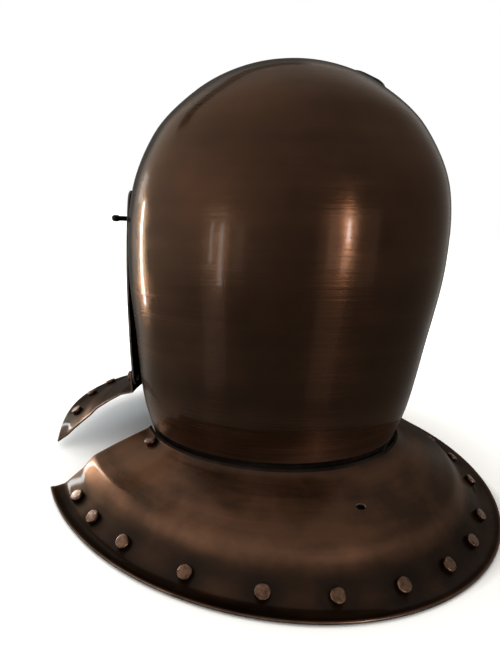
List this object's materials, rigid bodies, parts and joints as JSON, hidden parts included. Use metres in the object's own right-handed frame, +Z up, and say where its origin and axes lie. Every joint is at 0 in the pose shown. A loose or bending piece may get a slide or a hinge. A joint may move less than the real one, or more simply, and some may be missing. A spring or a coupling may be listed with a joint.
{
  "type": "visored helmet",
  "caption": "Visored helmet of sheet metal: a smooth round skull, a face plate that swings at the temples, and a flared, riveted neck collar in two plates.",
  "frame": {"origin": "centre of the helmet's footprint, on the floor it stands on", "axes": "+Z up, -Y towards the way the face looks, +X towards the wearer's left"},
  "size_m": [0.33, 0.36, 0.2936],
  "materials": {
    "brown_copper": "dark brown patina, polished",
    "worn_copper": "worn, lighter copper",
    "black_iron": "blackened"
  },
  "bodies": {
    "helmet": {"skull": "brown_copper", "rear_collar": "brown_copper", "pivot_bolt_left": "black_iron", "pivot_bolt_right": "black_iron", "crown_plate": "black_iron", "neck_rivet_left": "worn_copper", "neck_rivet_right": "worn_copper", "rear_rivet_01": "worn_copper", "rear_rivet_02": "worn_copper", "rear_rivet_03": "worn_copper", "rear_rivet_04": "worn_copper", "rear_rivet_05": "worn_copper", "rear_rivet_06": "worn_copper", "rear_rivet_07": "worn_copper", "rear_rivet_08": "worn_copper", "rear_rivet_09": "worn_copper", "rear_rivet_10": "worn_copper", "rear_rivet_11": "worn_copper", "rear_rivet_12": "worn_copper", "rear_rivet_13": "worn_copper", "rear_rivet_14": "worn_copper", "rear_rivet_15": "worn_copper"},
    "visor": {"visor": "brown_copper", "front_collar": "brown_copper", "flange_rivet_left": "worn_copper", "flange_rivet_right": "worn_copper", "front_rivet_01": "worn_copper", "front_rivet_02": "worn_copper", "front_rivet_03": "worn_copper", "front_rivet_04": "worn_copper", "front_rivet_05": "worn_copper", "front_rivet_06": "worn_copper", "front_rivet_07": "worn_copper", "front_rivet_08": "worn_copper", "front_rivet_09": "worn_copper", "front_rivet_10": "worn_copper"}
  },
  "joints": [
    {"name": "visor_hinge", "type": "hinge", "parent": "helmet", "child": "visor", "pos_m": [0, -0.08302, 0.18357], "axis": [-1, 0, 0], "range_deg": [0, 18]}
  ]
}
